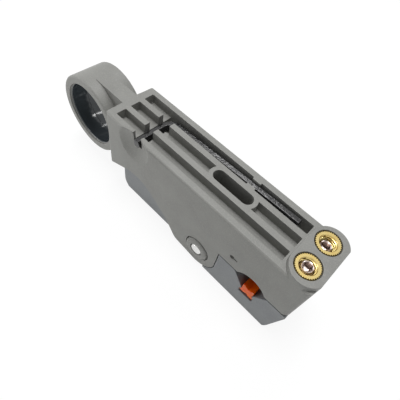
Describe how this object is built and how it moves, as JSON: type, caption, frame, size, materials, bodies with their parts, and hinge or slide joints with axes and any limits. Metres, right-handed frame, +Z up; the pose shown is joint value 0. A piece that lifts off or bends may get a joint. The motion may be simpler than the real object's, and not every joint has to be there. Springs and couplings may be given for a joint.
{
  "type": "coaxial cable stripper",
  "caption": "Rotary coaxial cable stripper: moulded body with finger ring, sprung lever with orange V-block jaw, screw-set blades and a stowed hex key.",
  "frame": {"origin": "on the resting face under the lever, below the pivot axis, mid-width", "axes": "+X along the tool towards the blade head, +Y along the pivot axis, +Z up through the ribbed top"},
  "size_m": [0.1074, 0.02, 0.0358],
  "materials": {
    "body_plastic": "moulded glass-filled nylon, mid grey, fine satin grain",
    "lever_plastic": "moulded glass-filled nylon, slightly cooler grey",
    "orange_plastic": "moulded acetal, bright orange",
    "brass": "turned and knurled brass",
    "pin_steel": "bright turned steel",
    "screw_steel": "bright steel set screws",
    "blade_steel": "ground blade steel",
    "spring_steel": "spring wire",
    "black_steel": "black oxide steel"
  },
  "bodies": {
    "frame": {"body": "body_plastic", "pivot_pin": "pin_steel", "lever_spring": "spring_steel", "insert_a": "brass", "insert_b": "brass", "blade_pin": "pin_steel", "hex_key": "black_steel", "blade_spring_a": "spring_steel", "blade_spring_b": "spring_steel"},
    "lever": {"lever": "lever_plastic", "block_spring": "spring_steel"},
    "v_block": {"v_block": "orange_plastic"},
    "screw_a": {"set_screw_a": "screw_steel"},
    "screw_b": {"set_screw_b": "screw_steel"},
    "blade_a": {"blade_a": "blade_steel"},
    "blade_b": {"blade_b": "blade_steel"}
  },
  "joints": [
    {"name": "lever_hinge", "type": "hinge", "parent": "frame", "child": "lever", "pos_m": [0, 0, 0.0083], "axis": [0, 1, 0], "range_deg": [0, 12], "stiffness_Nm_per_rad": 0.5, "springref_deg": -14.32, "deforming": ["lever_spring"]},
    {"name": "v_block_slide", "type": "slide", "parent": "lever", "child": "v_block", "axis": [0, 1, 0], "range_m": [-0.0194, 0.0194]},
    {"name": "screw_a_travel", "type": "slide", "parent": "frame", "child": "screw_a", "axis": [0, 0, -1], "range_m": [-0.0005, 0.001]},
    {"name": "screw_b_travel", "type": "slide", "parent": "frame", "child": "screw_b", "axis": [0, 0, -1], "range_m": [-0.0005, 0.001]},
    {"name": "blade_a_hinge", "type": "hinge", "parent": "frame", "child": "blade_a", "pos_m": [0.0119, -0.00465, 0.0211], "axis": [0, 1, 0], "range_deg": [-1.8, 3.6], "deforming": ["blade_spring_a"]},
    {"name": "blade_b_hinge", "type": "hinge", "parent": "frame", "child": "blade_b", "pos_m": [0.0119, 0.00465, 0.0211], "axis": [0, 1, 0], "range_deg": [-1.8, 3.6], "deforming": ["blade_spring_b"]}
  ],
  "couplings": [
    {"joint": "blade_a_hinge", "follows": "screw_a_travel", "rad_per_m": 61.3},
    {"joint": "blade_b_hinge", "follows": "screw_b_travel", "rad_per_m": 60.9}
  ]
}
